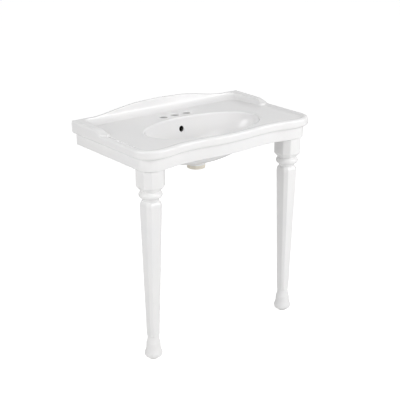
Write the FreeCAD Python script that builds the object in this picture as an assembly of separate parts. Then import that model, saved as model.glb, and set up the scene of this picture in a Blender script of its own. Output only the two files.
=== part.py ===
import FreeCAD, Part
import math
import os

# Console sink with legs: a vitreous china top with a moulded-in bowl, hung on
# the wall at its back and carried at the front by two hollow china legs.
# Frame: X to the right, Y towards the wall, Z up, in millimetres.  The pieces
# are drawn with Y = 0 on the wall face and Z = 0 on the floor; the last step
# moves the origin forward to the middle of the top's depth, on the floor.

# ---- driving dimensions: top -------------------------------------------------
DECK_Z = 755.0              # flat deck above the floor
APRON_HALF = 352.0          # half width over the set-in apron
LOBE_DEPTH = 419.0          # wall to apron front at the corner lobes
DIP_IN = 15.0               # the two hollows of the front lie back by this
BOW_IN = 3.5                # and its middle by this
DIP_X = 176.0               # hollow of the serpentine front from the centre
CORNER_R = 47.0             # plan radius of the front corners
APRON_DROP = 69.0           # apron bottom below the deck
SHELL = 11.0                # china thickness of apron and deck
EDGE_CHAMFER = 2.0          # softened lower edge of the apron
BACK_WALL = 14.0            # rear wall that bears on the building wall

RIM_RISE = 6.0              # rim crown above the deck
FASCIA_OUT = 17.0           # rim fascia proud of the apron
CROWN_R = 10.0              # rounding from rim crown to fascia
FASCIA_LOW = 17.0           # fascia stays upright down to this below the deck
OVOLO_H = 9.0               # height of the ovolo under the fascia
QUIRK_OUT = 6.5             # the ovolo springs from here, outside the cove
COVE_R = 4.0                # cove between rim and apron
RIM_FOOT = 15.0             # inner foot of the rim, inside the apron face
DECK_LAP = 12.0             # strip of deck that belongs to the rim

# ---- backsplash and side arms -------------------------------------------------
ARM_RISE = 20.0             # flat ends and arms above the deck
SPLASH_RISE = 47.5          # crest of the backsplash above the deck
SPLASH_FLAT = 60.0          # length of the flat ends, from the apron face
SPLASH_SWELL = ((1.0, 0.0), (0.66, 0.45), (0.4, 0.84))     # swell of its top edge, in shares
SPLASH_T = 10.0             # backsplash thickness at its crest
SPLASH_LEAN = 4.0           # its face leans back by this
SPLASH_FOOT = 40.0          # backsplash foot on the deck, from the wall
ARM_TOP_IN = 20.0           # inner edge of the arm on its top, inside the apron face
ARM_FOOT_IN = 36.0          # inner edge of the arm on the deck
ARM_TAPER = 9.0             # the arm narrows by this towards its nose
ARM_REACH = 190.0           # nose of the arm from the wall
ARM_SLOPE = 50.0            # length of the scroll that falls to the rim
SCROLL_MID = 0.55           # share of its fall and length at its middle
SCROLL_END = 0.4            # slope at its end
ARM_CORNER_R = 26.0         # plan radius between backsplash and arm
ARM_EDGE_R = 5.0            # softened outer edge on top of the arm
FLARE_SHARES = (0.0, 0.1, 0.22, 0.38, 0.6, 1.0)     # levels drawn up to the rounded edge
EDGE_SHARES = (0.5, 0.8, 1.0)        # levels drawn in the rounded edge
ARM_SINK = 4.0              # the arms and backsplash go into the deck by this
ARM_DIP = 1.5               # the nose of the arm ends below the rim crown
COVE_POWER = 2.2            # how fast the cove at the foot of the backsplash turns up

# ---- bowl ----------------------------------------------------------------------
DECK_SIDE = 114.0           # deck from the apron face to the bowl, at either end
DECK_FRONT = 24.0           # and in front of it
DECK_BACK = 129.0           # deck from the wall to the bowl
LIP_R = 6.0                 # rounded lip
BOWL_DEPTH = 132.0          # deck to bowl floor
BOWL_POWER = 2.1            # fullness of the bowl's section: 2 would be an ellipse
BOWL_SHARES = (0.99, 0.97, 0.93, 0.86, 0.76, 0.64, 0.5, 0.33, 0.15, 0.0)   # levels drawn
LIP_TURNS = (60, 35, 15, 0)  # degrees round the rounded lip where it is drawn
BOWL_WALL = 10.0            # china thickness of the bowl
DRAIN_BACK = 42.0           # the drain lies behind the middle of the bowl
DRAIN_R = 22.5              # drain outlet
DRAIN_SEAT_R = 31.0         # seat for the drain flange
DRAIN_SEAT_DEPTH = 3.0
BOSS_R = 32.5               # unglazed boss round the outlet
BOSS_LENGTH = 33.0          # bowl floor to the face of the boss
OVERFLOW_R = 10.5           # overflow inlet in the back of the bowl
OVERFLOW_DROP = 43.0        # overflow inlet below the deck
DUCT_HALF = 19.0            # half width of the overflow duct inside
DUCT_GAP = 9.0              # depth of the duct inside
DUCT_WALL = 6.0
DUCT_DROP = 27.0            # top of the duct below the deck, clear of the middle tap hole
DUCT_SHARES = (0.18, 0.45, 0.7, 0.86, 0.95)     # where it follows the back of the bowl
DUCT_LIFT = 5.0             # underside of the duct above the face of the boss
PORT_R = 6.0                # port between the duct and the drain outlet
PORT_WALL = 4.0             # china between them

# ---- holes in the top ------------------------------------------------------------
TAP_PITCH = 50.8            # 4 inch centreset: three holes, 50.8 apart
TAP_R = 15.0
TAP_Y = 97.0                # tap holes from the wall
WALL_HOLE_SPAN = 480.0      # distance between the two wall bolts
WALL_HOLE_R = 7.0
WALL_HOLE_DROP = 40.0       # wall bolts below the deck

# ---- leg pads and ribs under the deck -----------------------------------------------
PAD_REACH = 110.0           # pad size inwards from the apron face
PAD_T = 12.0
RIB_GAP = 31.0              # bowl to the ribs that stiffen the deck
RIB_T = 10.0
RIB_DROP = 42.0
STUD_HOLE_R = 7.5

# ---- legs ------------------------------------------------------------------------------
LEG_IN_X = 51.0             # leg axis inside the apron's side
LEG_IN_Y = 52.5             # leg axis behind the apron's front
GASKET_T = 2.0              # between leg and top
FOOT_PAD_T = 2.5            # rubber under the foot
LEG_WALL = 9.0
BLOCK_SIDE = 84.0
BLOCK_CHAMFER = 19.0
BLOCK_H = 59.0              # upright part of the block
BLOCK_TAPER_H = 15.0        # chamfer under the block
BLOCK_LOW_SIDE = 62.0       # block below that chamfer
BEAD_R = 39.3
BEAD_DROP = 90.0            # bead below the apron
BEAD_HALF = 10.5            # half height of the bead
BEAD_FOOT_R = 31.0          # radius above and below the bead
NECK_CURVE_R = 27.5         # radius half way from there down to the neck
NECK_R = 26.0
NECK_DROP = 112.0           # neck below the apron
SHOULDER_H = 19.0           # rounded shoulder between neck and shaft
SHOULDER_TURNS = (0, 25, 50, 75)     # degrees round the shoulder where it is drawn
SHAFT_SIDE = 62.0
SHAFT_CHAMFER = 12.0
ANKLE_SIDE = 37.5
ANKLE_CHAMFER = 7.2
ANKLE_Z = 83.0              # end of the taper above the floor
ANKLE_R = 19.8              # turned neck under the taper
ANKLE_LOW_Z = 76.0          # its lower end
FLARE_R = 21.4              # radius half way down the flare of the foot
COLLAR_R = 24.4             # end of the flare
COLLAR_Z = 56.0
COLLAR_LOW_R = 25.0         # near-upright band under it
COLLAR_LOW_Z = 39.0
BALL_TOP_R = 29.0           # ball of the foot
BALL_TOP_Z = 24.3
BALL_LOW_R = 29.4           # radius half way round its lower side
BALL_LOW_Z = 11.0
FOOT_BASE_R = 19.0
FOOT_BORE_R = 13.0          # open end of the hollow leg
OCTAGON_SHARE = math.sqrt(0.5) / (1 + math.sqrt(2))     # corner chamfer of a regular octagon

# ---- leg fixing -----------------------------------------------------------------------
STUD_R = 5.0                # M10 stud
STUD_PROUD = 9.0            # stud above the wing nut
STUD_COVER = 2.0            # cement under the stud
STUD_CHAMFER = 0.8
WASHER_R = 17.0
WASHER_T = 2.5
NUT_R = 9.5
NUT_TOP_R = 7.5
NUT_H = 9.0
WING_SPAN = 46.0
WING_T = 4.0
WING_H = 17.0
WING_SHAPE = ((0.24, 0.06), (0.78, 0.24), (1.0, 0.7), (0.87, 1.0), (0.61, 0.82), (0.24, 0.47))
GASKET_SIDE = 66.0
BORE_PLAY = 0.5             # stud clearance in washer and gasket
BUNG_PLAY = 0.3             # rubber bung in the open foot
BUNG_PLUG_H = 14.0
BUNG_TAPER = 1.0
BUNG_FLANGE_R = 17.5
TOP_PLATE = 12.0            # china over the head of the leg

CUT_OVER = 10.0             # cutting tools reach past what they cut by this
BITE = 2.0                  # pieces of one casting go into each other by this

# ---- levels worked out from the above ---------------------------------------------------
BOWL_A = APRON_HALF - DECK_SIDE - LIP_R     # half length of the bowl under its lip
BOWL_B = (LOBE_DEPTH - DECK_FRONT - DECK_BACK) / 2 - LIP_R
BOWL_Y = DECK_BACK + LIP_R + BOWL_B         # bowl centre from the wall
DRAIN_Y = BOWL_Y - DRAIN_BACK
BOSS_DROP = BOWL_DEPTH + BOSS_LENGTH
RIB_X = BOWL_A + RIB_GAP + RIB_T / 2
LEG_X = APRON_HALF - LEG_IN_X
LEG_Y = LOBE_DEPTH - LEG_IN_Y
APRON_Z = DECK_Z - APRON_DROP
LEG_TOP_Z = APRON_Z - GASKET_T
FOOT_Z = FOOT_PAD_T
WALL_Y = (LOBE_DEPTH + FASCIA_OUT) / 2      # wall face from the origin


def vec(x, y, z=0.0):
    return FreeCAD.Vector(x, y, z)


def wire_through(points):
    """Closed wire of straight edges."""
    return Part.makePolygon([*points, points[0]])


def prism(wire, direction):
    """Solid made by moving a closed flat wire along a direction."""
    return Part.Face(wire).extrude(direction)


def smooth_edge(points, start, end):
    """Curve through the points that leaves and arrives along the two tangents."""
    curve = Part.BSplineCurve()
    curve.interpolate(Points=points, InitialTangent=start, FinalTangent=end)
    return curve.toShape()


def arc_edge(centre, radius, start_deg, end_deg, z):
    """Counter-clockwise plan arc from one angle to the other."""
    def at(angle):
        turn = math.radians(angle)
        return vec(centre[0] + radius * math.cos(turn), centre[1] + radius * math.sin(turn), z)
    return Part.Arc(at(start_deg), at((start_deg + end_deg) / 2), at(end_deg)).toShape()


# ---- plan of the top ---------------------------------------------------------------------
def double_bend(start, end, offset, z):
    """Two equal tangent arcs, like an S, between two level points of the front."""
    run, rise = end[0] - start[0], end[1] - start[1]
    radius = (run ** 2 + rise ** 2) / (4 * abs(rise))
    turn = math.degrees(math.asin(run / 2 / radius))
    arcs = []
    for (x, y), side, swing in ((start, math.copysign(1, rise), (0, turn)),
                                (end, -math.copysign(1, rise), (-turn, 0))):
        centre = (x, y + side * radius)
        bend = radius + side * offset
        angles = [-side * 90 + side * angle for angle in swing]
        arcs.append(arc_edge(centre, bend, *angles, z))
    return arcs


def outline_edges(offset, z):
    """Left side, corner, serpentine front, corner and right side, seen from above."""
    half = APRON_HALF + offset
    corner_x = APRON_HALF - CORNER_R
    corner_y = -(LOBE_DEPTH - CORNER_R)
    radius = CORNER_R + offset
    stations = [(-corner_x, -LOBE_DEPTH), (-DIP_X, DIP_IN - LOBE_DEPTH), (0, BOW_IN - LOBE_DEPTH),
                (DIP_X, DIP_IN - LOBE_DEPTH), (corner_x, -LOBE_DEPTH)]
    front = []
    for start, end in zip(stations, stations[1:]):
        front += double_bend(start, end, offset, z)
    return [
        Part.makeLine(vec(-half, 0, z), vec(-half, corner_y, z)),
        arc_edge((-corner_x, corner_y), radius, 180, 270, z),
        *front,
        arc_edge((corner_x, corner_y), radius, 270, 360, z),
        Part.makeLine(vec(half, corner_y, z), vec(half, 0, z)),
    ]


def outline_wire(offset, z):
    half = APRON_HALF + offset
    back = Part.makeLine(vec(half, 0, z), vec(-half, 0, z))
    return Part.Wire([*outline_edges(offset, z), back])


def rim_fall(crown, foot):
    """Two equal tangent arcs from the crown of the rim down to the flat deck."""
    run, fall = foot.x - crown.x, crown.z - foot.z
    radius = (run ** 2 + fall ** 2) / (4 * fall)
    middle = (crown + foot) / 2
    sagitta = radius - math.sqrt(radius ** 2 - (run / 4) ** 2)
    quarter = vec(run / 4, 0, -sagitta)
    return [Part.Arc(crown, crown + quarter, middle).toShape(),
            Part.Arc(middle, foot - quarter, foot).toShape()]


def rim_section():
    """Cross-section of apron, rim and deck edge at the wall end of the left side.

    It is drawn in the plane Y = 0: x runs outwards from the apron face."""
    def at(out, up):
        return vec(-(APRON_HALF + out), 0, DECK_Z + up)

    def bend(a, middle, b):
        return Part.Arc(at(*a), at(*middle), at(*b)).toShape()

    low = -APRON_DROP
    round_in = math.sqrt(0.5)
    crown_out = FASCIA_OUT - CROWN_R
    crown_side = RIM_RISE - CROWN_R
    ovolo_mid_out = QUIRK_OUT + (FASCIA_OUT - QUIRK_OUT) * round_in
    ovolo_mid_up = -FASCIA_LOW - OVOLO_H * round_in
    cove_top = -(FASCIA_LOW + OVOLO_H)
    deck_in = -(RIM_FOOT + DECK_LAP)
    edges = [
        Part.makeLine(at(-SHELL, low), at(-EDGE_CHAMFER, low)),
        Part.makeLine(at(-EDGE_CHAMFER, low), at(0, low + EDGE_CHAMFER)),
        Part.makeLine(at(0, low + EDGE_CHAMFER), at(0, cove_top - COVE_R)),
        bend((0, cove_top - COVE_R), (COVE_R * (1 - round_in), cove_top - COVE_R * (1 - round_in)),
             (COVE_R, cove_top)),
        Part.makeLine(at(COVE_R, cove_top), at(QUIRK_OUT, cove_top)),
        bend((QUIRK_OUT, cove_top), (ovolo_mid_out, ovolo_mid_up), (FASCIA_OUT, -FASCIA_LOW)),
        Part.makeLine(at(FASCIA_OUT, -FASCIA_LOW), at(FASCIA_OUT, crown_side)),
        bend((FASCIA_OUT, crown_side),
             (crown_out + CROWN_R * round_in, crown_side + CROWN_R * round_in),
             (crown_out, RIM_RISE)),
        *rim_fall(at(crown_out, RIM_RISE), at(-RIM_FOOT, 0)),
        Part.makeLine(at(-RIM_FOOT, 0), at(deck_in, 0)),
        Part.makeLine(at(deck_in, 0), at(deck_in, -SHELL)),
        Part.makeLine(at(deck_in, -SHELL), at(-SHELL, -SHELL)),
        Part.makeLine(at(-SHELL, -SHELL), at(-SHELL, low)),
    ]
    return Part.Wire(edges)


def rim_ring():
    """Apron, fascia, rim and deck edge, swept round the two sides and the front."""
    path = Part.Wire(outline_edges(0, DECK_Z))
    sweep = Part.BRepOffsetAPI.MakePipeShell(path)
    sweep.setBiNormalMode(vec(0, 0, 1))
    sweep.add(rim_section(), False, False)
    sweep.build()
    sweep.makeSolid()
    return sweep.shape()


def deck_plate():
    return prism(outline_wire(-(RIM_FOOT + DECK_LAP / 2), DECK_Z - SHELL), vec(0, 0, SHELL))


def rear_wall():
    width = 2 * (APRON_HALF - EDGE_CHAMFER)
    return Part.makeBox(width, BACK_WALL, APRON_DROP - SHELL / 2,
                        vec(-width / 2, -BACK_WALL, APRON_Z))


# ---- backsplash and arms ----------------------------------------------------------------
def splash_level(up):
    """Foot-to-crest position of the inner faces at a height above the deck, 1 to 0."""
    return max(0.0, 1.0 - up / ARM_RISE) ** COVE_POWER


def splash_plan(up):
    """Plan of the backsplash with its two arms at one height above the deck."""
    z = DECK_Z + up
    flare = splash_level(up)
    outer = APRON_HALF + FASCIA_OUT
    lift = max(0.0, up - (ARM_RISE - ARM_EDGE_R))
    inset = ARM_EDGE_R - math.sqrt(ARM_EDGE_R ** 2 - min(lift, ARM_EDGE_R) ** 2)
    side = outer - inset
    lean = SPLASH_LEAN * max(0.0, 1 - up / SPLASH_RISE)
    thick = SPLASH_T + lean + (SPLASH_FOOT - SPLASH_T) * flare
    inner = APRON_HALF - ARM_TOP_IN - (ARM_FOOT_IN - ARM_TOP_IN) * flare
    inner_front = inner + ARM_TAPER
    nose_r = (side - inner_front) / 2
    nose_y = -(ARM_REACH - nose_r)
    corner = ARM_CORNER_R

    def half_plan(sign):
        tangent = (inner_front - inner) / (ARM_REACH - thick)
        bend_mid = (inner - corner * (1 - math.sqrt(0.5)), -thick - corner * (1 - math.sqrt(0.5)))
        return [
            ((side, 0), (side, nose_y), None),
            ((side, nose_y), (inner_front, nose_y), (side - nose_r, nose_y - nose_r)),
            ((inner_front, nose_y), (inner + tangent * corner, -thick - corner), None),
            ((inner + tangent * corner, -thick - corner), (inner - corner, -thick), bend_mid),
        ], sign

    def build(spec):
        pieces, sign = spec
        edges = []
        for start, end, middle in pieces:
            a = vec(sign * start[0], start[1], z)
            b = vec(sign * end[0], end[1], z)
            if middle is None:
                edges.append(Part.makeLine(a, b))
            else:
                edges.append(Part.Arc(a, vec(sign * middle[0], middle[1], z), b).toShape())
        return edges

    right = build(half_plan(1))
    left = build(half_plan(-1))
    crest = Part.makeLine(vec(inner - corner, -thick, z), vec(-(inner - corner), -thick, z))
    back = Part.makeLine(vec(-side, 0, z), vec(side, 0, z))
    return Part.Wire([back, *right, crest, *reversed(left)])


def splash_front_profile():
    """Serpentine top edge of the backsplash, as a slab through the depth."""
    flat = DECK_Z + ARM_RISE
    crest = DECK_Z + SPLASH_RISE
    flat_x = APRON_HALF - SPLASH_FLAT
    wide = APRON_HALF + FASCIA_OUT + CUT_OVER
    low = DECK_Z - CUT_OVER
    front = -(ARM_REACH + CUT_OVER)

    def at(x, z):
        return vec(x, front, z)

    rise = SPLASH_RISE - ARM_RISE
    level = vec(1, 0, 0)
    half_swell = [at(share * flat_x, flat + lift * rise) for share, lift in SPLASH_SWELL]
    points = [vec(-point.x, point.y, point.z) for point in half_swell]
    points += [at(0, crest), *reversed(half_swell)]
    top = Part.BSplineCurve()
    top.interpolate(Points=points, InitialTangent=level, FinalTangent=level)
    edges = [
        Part.makeLine(at(-wide, low), at(-wide, flat)),
        Part.makeLine(at(-wide, flat), at(-flat_x, flat)),
        top.toShape(),
        Part.makeLine(at(flat_x, flat), at(wide, flat)),
        Part.makeLine(at(wide, flat), at(wide, low)),
        Part.makeLine(at(wide, low), at(-wide, low)),
    ]
    return prism(Part.Wire(edges), vec(0, CUT_OVER - front, 0))


def arm_side_profile():
    """The arm seen from the side: flat, then a scroll that falls to the rim."""
    wide = APRON_HALF + FASCIA_OUT + CUT_OVER
    start = -(ARM_REACH - ARM_SLOPE)
    nose = -(ARM_REACH + CUT_OVER / 2)
    high = DECK_Z + SPLASH_RISE + CUT_OVER
    low = DECK_Z - CUT_OVER
    nose_z = DECK_Z + RIM_RISE - ARM_DIP

    def at(y, z):
        return vec(-wide, y, z)

    fall = ARM_RISE - RIM_RISE
    scroll = smooth_edge([at(start, DECK_Z + ARM_RISE),
                          at(start - SCROLL_MID * ARM_SLOPE, DECK_Z + RIM_RISE + SCROLL_MID * fall),
                          at(nose, nose_z)],
                         vec(0, -1, 0), vec(0, -1, -SCROLL_END))
    edges = [
        Part.makeLine(at(CUT_OVER, low), at(CUT_OVER, high)),
        Part.makeLine(at(CUT_OVER, high), at(start, high)),
        Part.makeLine(at(start, high), at(start, DECK_Z + ARM_RISE)),
        scroll,
        Part.makeLine(at(nose, nose_z), at(nose, low)),
        Part.makeLine(at(nose, low), at(CUT_OVER, low)),
    ]
    return prism(Part.Wire(edges), vec(2 * wide, 0, 0))


def backsplash():
    """Ruled bands between plans at rising levels, trimmed to the two side views."""
    upright = ARM_RISE - ARM_EDGE_R
    levels = [-ARM_SINK, *[share * upright for share in FLARE_SHARES],
              *[upright + share * ARM_EDGE_R for share in EDGE_SHARES],
              SPLASH_RISE + CUT_OVER / 2]
    body = Part.makeLoft([splash_plan(up) for up in levels], True, True)
    return body.common(splash_front_profile()).common(arm_side_profile())


# ---- bowl ----------------------------------------------------------------------------------
def bowl_station(depth):
    """Half length, half width and centre of the bowl at a depth under its lip."""
    share = depth / (BOWL_DEPTH - LIP_R)
    size = (1 - share ** BOWL_POWER) ** (1 / BOWL_POWER)
    shift = (BOWL_Y - DRAIN_Y) * share ** 2
    return size, BOWL_Y - shift


def ellipse_wire(half_x, half_y, centre_y, z):
    curve = Part.Ellipse(vec(0, -centre_y, z), half_x, half_y)
    return Part.Wire([curve.toShape()])


def bowl_sections(wall):
    """Ellipses from floor to lip; wall is added outside for the underside."""
    sections = []
    for share in BOWL_SHARES:
        depth = share * (BOWL_DEPTH - LIP_R)
        size, centre = bowl_station(depth)
        z = DECK_Z - LIP_R - depth - wall * share ** 3
        sections.append(ellipse_wire(BOWL_A * size + wall, BOWL_B * size + wall, centre, z))
    return sections


def bowl_hollow():
    """Inside of the bowl and, above it, the space inside the rounded lip."""
    lip = []
    for angle in LIP_TURNS:
        turn = math.radians(angle)
        out = LIP_R * (1 - math.sin(turn))
        down = LIP_R * (1 - math.cos(turn))
        lip.append(ellipse_wire(BOWL_A + out, BOWL_B + out, BOWL_Y, DECK_Z - down))
    above = ellipse_wire(BOWL_A + LIP_R, BOWL_B + LIP_R, BOWL_Y, DECK_Z + LIP_R)
    return Part.makeLoft([*bowl_sections(0.0), *lip, above], True, True)


def bowl_body():
    shell = Part.makeLoft(bowl_sections(BOWL_WALL), True, True)
    collar = prism(ellipse_wire(BOWL_A + BOWL_WALL, BOWL_B + BOWL_WALL, BOWL_Y,
                                DECK_Z - SHELL), vec(0, 0, SHELL))
    boss = Part.makeCylinder(BOSS_R, BOSS_LENGTH + BOWL_WALL,
                             vec(0, -DRAIN_Y, DECK_Z - BOSS_DROP))
    return shell.fuse([collar, boss])


def drain_cut():
    bore = Part.makeCylinder(DRAIN_R, BOSS_DROP, vec(0, -DRAIN_Y, DECK_Z - BOSS_DROP - BITE))
    seat = Part.makeCylinder(DRAIN_SEAT_R, BOWL_DEPTH / 2,
                             vec(0, -DRAIN_Y, DECK_Z - BOWL_DEPTH - DRAIN_SEAT_DEPTH))
    return bore.fuse(seat)


def duct_line(gap):
    """Side view of the overflow duct, a distance outside the bowl's outer face."""
    points = []
    for share in DUCT_SHARES:
        depth = share * (BOWL_DEPTH - LIP_R)
        size, centre = bowl_station(depth)
        y = -centre + BOWL_B * size + BOWL_WALL + gap
        z = DECK_Z - LIP_R - depth - (BOWL_WALL + gap) * share ** 3
        points.append((y, z))
    return points


def duct_solid(gaps, half_width, top, roof, low, end_y):
    """Curved duct down the back of the bowl and forward under it, between two gaps."""
    def at(y, z):
        return vec(-half_width, y, z)

    def edge(points):
        curve = Part.BSplineCurve()
        curve.interpolate([at(*point) for point in points])
        return curve.toShape()

    near, far = [duct_line(gap) for gap in gaps]
    near[0] = (near[0][0], top)
    far[0] = (far[0][0], top)
    far.append((end_y, low))
    edges = [edge(near), Part.makeLine(at(*near[-1]), at(end_y, roof)),
             Part.makeLine(at(end_y, roof), at(end_y, low)),
             edge(far), Part.makeLine(at(*far[0]), at(*near[0]))]
    return prism(Part.Wire(Part.__sortEdges__(edges)), vec(2 * half_width, 0, 0))


def overflow_duct():
    return duct_solid((-BOWL_WALL / 2, DUCT_GAP + DUCT_WALL), DUCT_HALF + DUCT_WALL,
                      DECK_Z - DUCT_DROP, DECK_Z - BOWL_DEPTH,
                      DECK_Z - BOSS_DROP + DUCT_LIFT, -(DRAIN_Y - DRAIN_R / 2))


def overflow_cut():
    """Inlet in the bowl, the passage behind it, and the port into the drain outlet."""
    floor = DECK_Z - BOSS_DROP + DUCT_LIFT + DUCT_WALL
    end_y = -(DRAIN_Y - DRAIN_R - PORT_WALL)
    passage = duct_solid((0.0, DUCT_GAP), DUCT_HALF, DECK_Z - DUCT_DROP - DUCT_WALL,
                         DECK_Z - BOWL_DEPTH - BOWL_WALL, floor, end_y)
    inlet = Part.makeCylinder(OVERFLOW_R, CUT_OVER + BOWL_WALL + DUCT_GAP / 2,
                              vec(0, -(BOWL_Y - BOWL_B) - CUT_OVER, DECK_Z - OVERFLOW_DROP),
                              vec(0, 1, 0))
    port = Part.makeCylinder(PORT_R, DRAIN_R + PORT_WALL + BITE,
                             vec(0, -DRAIN_Y, floor + PORT_R), vec(0, 1, 0))
    return passage.fuse([inlet, port])


# ---- holes, pads and ribs --------------------------------------------------------------------
def tap_holes():
    return [Part.makeCylinder(TAP_R, SHELL + 2 * BITE,
                              vec(place * TAP_PITCH, -TAP_Y, DECK_Z - SHELL - BITE))
            for place in (-1, 0, 1)]


def wall_holes():
    return [Part.makeCylinder(WALL_HOLE_R, BACK_WALL + 2 * BITE,
                              vec(side * WALL_HOLE_SPAN / 2, -BACK_WALL - BITE,
                                  DECK_Z - WALL_HOLE_DROP), vec(0, 1, 0))
            for side in (-1, 1)]


def leg_pad(side):
    """China web in the corner that the leg bears on, with its stud hole."""
    corner = Part.makeBox(PAD_REACH, PAD_REACH, PAD_T,
                          vec(-APRON_HALF, -LOBE_DEPTH, APRON_Z))
    inside = prism(outline_wire(BITE - SHELL, APRON_Z), vec(0, 0, PAD_T))
    pad = corner.common(inside)
    if side > 0:
        pad = pad.mirror(vec(0, 0), vec(1, 0))
    return pad


def stud_hole(side):
    return Part.makeCylinder(STUD_HOLE_R, PAD_T + 2 * BITE,
                             vec(side * LEG_X, -LEG_Y, APRON_Z - BITE))


def rib(side):
    length = LOBE_DEPTH - SHELL - BACK_WALL + 2 * BITE
    left = side * RIB_X - RIB_T / 2
    block = Part.makeBox(RIB_T, length, RIB_DROP - SHELL + BITE,
                         vec(left, -(BACK_WALL - BITE + length), DECK_Z - RIB_DROP))
    return block.common(prism(outline_wire(BITE - SHELL, DECK_Z - RIB_DROP), vec(0, 0, RIB_DROP)))


def console_top():
    body = rim_ring()
    for piece in (deck_plate(), rear_wall(), backsplash(), bowl_body(), overflow_duct(),
                  leg_pad(-1), leg_pad(1), rib(-1), rib(1)):
        body = body.fuse(piece)
    for tool in (drain_cut(), overflow_cut(), bowl_hollow(), stud_hole(-1), stud_hole(1),
                 *tap_holes(), *wall_holes()):
        body = body.cut(tool)
    return body.removeSplitter()


# ---- legs --------------------------------------------------------------------------------------
def octagon(side, chamfer, z, x=0.0, y=0.0):
    """Square with chamfered corners, its centre at x, y."""
    h = side / 2
    c = chamfer
    corners = [(h, -h + c), (h, h - c), (h - c, h), (-h + c, h),
               (-h, h - c), (-h, -h + c), (-h + c, -h), (h - c, -h)]
    return wire_through([vec(x + a, y + b, z) for a, b in corners])


def turned(profile, x, y):
    """Solid of revolution round the upright axis.

    A profile point is (radius, z), or (radius, z, mid radius, mid z) at the end of an arc."""
    edges = []
    last = vec(profile[-1][0], 0, profile[-1][1])
    for radius, z, *middle in profile:
        point = vec(radius, 0, z)
        if middle:
            edges.append(Part.Arc(last, vec(middle[0], 0, middle[1]), point).toShape())
        else:
            edges.append(Part.makeLine(last, point))
        last = point
    solid = Part.Face(Part.Wire(edges)).revolve(vec(0, 0, 0), vec(0, 0, 1), 360)
    solid.translate(vec(x, y, 0))
    return solid


def leg_block(x, y):
    """Chamfered square head with the chamfer that closes it underneath."""
    base = LEG_TOP_Z - BLOCK_H
    low = octagon(BLOCK_LOW_SIDE, BLOCK_LOW_SIDE * OCTAGON_SHARE, base - BLOCK_TAPER_H, x, y)
    return Part.makeLoft([low, octagon(BLOCK_SIDE, BLOCK_CHAMFER, base, x, y),
                          octagon(BLOCK_SIDE, BLOCK_CHAMFER, LEG_TOP_Z, x, y)], True, True)


def leg_turning(x, y):
    """Bead and neck, turned, between the block and the shaft."""
    top = LEG_TOP_Z - BLOCK_H - BLOCK_TAPER_H / 2
    bead = APRON_Z - BEAD_DROP
    neck = APRON_Z - NECK_DROP
    bead_low = bead - BEAD_HALF
    return turned([(0, top), (BEAD_FOOT_R, top), (BEAD_FOOT_R, bead + BEAD_HALF),
                   (BEAD_FOOT_R, bead_low, BEAD_R, bead),
                   (NECK_R, neck, NECK_CURVE_R, (bead_low + neck) / 2),
                   (NECK_R, neck - SHOULDER_H), (0, neck - SHOULDER_H)], x, y)


def leg_shaft(x, y):
    """Tapered chamfered square shaft with a rounded shoulder."""
    top = APRON_Z - NECK_DROP - SHOULDER_H
    share = SHAFT_CHAMFER / SHAFT_SIDE
    neck_side = 2 * NECK_R - SHAFT_SIDE * share / 2
    sections = [octagon(ANKLE_SIDE, ANKLE_CHAMFER, ANKLE_Z, x, y)]
    for turn in SHOULDER_TURNS:
        angle = math.radians(turn)
        side = neck_side + (SHAFT_SIDE - neck_side) * math.cos(angle)
        sections.append(octagon(side, side * share, top + SHOULDER_H * math.sin(angle), x, y))
    return Part.makeLoft(sections, True, True)


def leg_foot(x, y):
    """Vase-shaped foot, turned: a neck, a flared collar and a ball."""
    return turned([(0, ANKLE_Z), (ANKLE_R, ANKLE_Z), (ANKLE_R, ANKLE_LOW_Z),
                   (COLLAR_R, COLLAR_Z, FLARE_R, (ANKLE_LOW_Z + COLLAR_Z) / 2),
                   (COLLAR_LOW_R, COLLAR_LOW_Z), (BALL_TOP_R, BALL_TOP_Z),
                   (FOOT_BASE_R, FOOT_Z, BALL_LOW_R, BALL_LOW_Z), (0, FOOT_Z)], x, y)


def leg_hollow(x, y):
    """Inside of the slip-cast leg: it follows the outside at the wall thickness."""
    neck = APRON_Z - NECK_DROP
    head_r = BLOCK_SIDE / 2 - LEG_WALL
    waist_r = NECK_R - LEG_WALL
    shaft_r = SHAFT_SIDE / 2 - LEG_WALL
    ankle_r = ANKLE_R - LEG_WALL
    head_low = LEG_TOP_Z - BLOCK_H
    return turned([(0, LEG_TOP_Z - TOP_PLATE), (head_r, LEG_TOP_Z - TOP_PLATE), (head_r, head_low),
                   (waist_r, neck + LEG_WALL), (waist_r, neck - SHOULDER_H / 2),
                   (shaft_r, neck - 2 * SHOULDER_H), (ankle_r, ANKLE_Z + LEG_WALL),
                   (ankle_r, COLLAR_Z), (FOOT_BORE_R, FOOT_Z + 2 * BUNG_PLUG_H),
                   (FOOT_BORE_R, FOOT_Z - CUT_OVER), (0, FOOT_Z - CUT_OVER)], x, y)


def leg(side):
    x, y = side * LEG_X, -LEG_Y
    body = leg_block(x, y).fuse([leg_turning(x, y), leg_shaft(x, y), leg_foot(x, y)])
    stud_bore = Part.makeCylinder(STUD_R + BORE_PLAY, TOP_PLATE + 2 * BITE,
                                  vec(x, y, LEG_TOP_Z - TOP_PLATE - BITE))
    return body.cut([leg_hollow(x, y), stud_bore]).removeSplitter()


# ---- leg fixing ------------------------------------------------------------------------------------
def cement_anchor(side):
    """Cement cast round the stud in the head of the leg."""
    x, y = side * LEG_X, -LEG_Y
    head_r = BLOCK_SIDE / 2 - LEG_WALL
    height = BLOCK_H - TOP_PLATE
    plug = Part.makeCylinder(head_r, height, vec(x, y, LEG_TOP_Z - BLOCK_H))
    bore = Part.makeCylinder(STUD_R, height + 2 * BITE, vec(x, y, LEG_TOP_Z - BLOCK_H - BITE))
    return plug.cut(bore)


def stud_top():
    return APRON_Z + PAD_T + WASHER_T + NUT_H + STUD_PROUD


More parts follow.
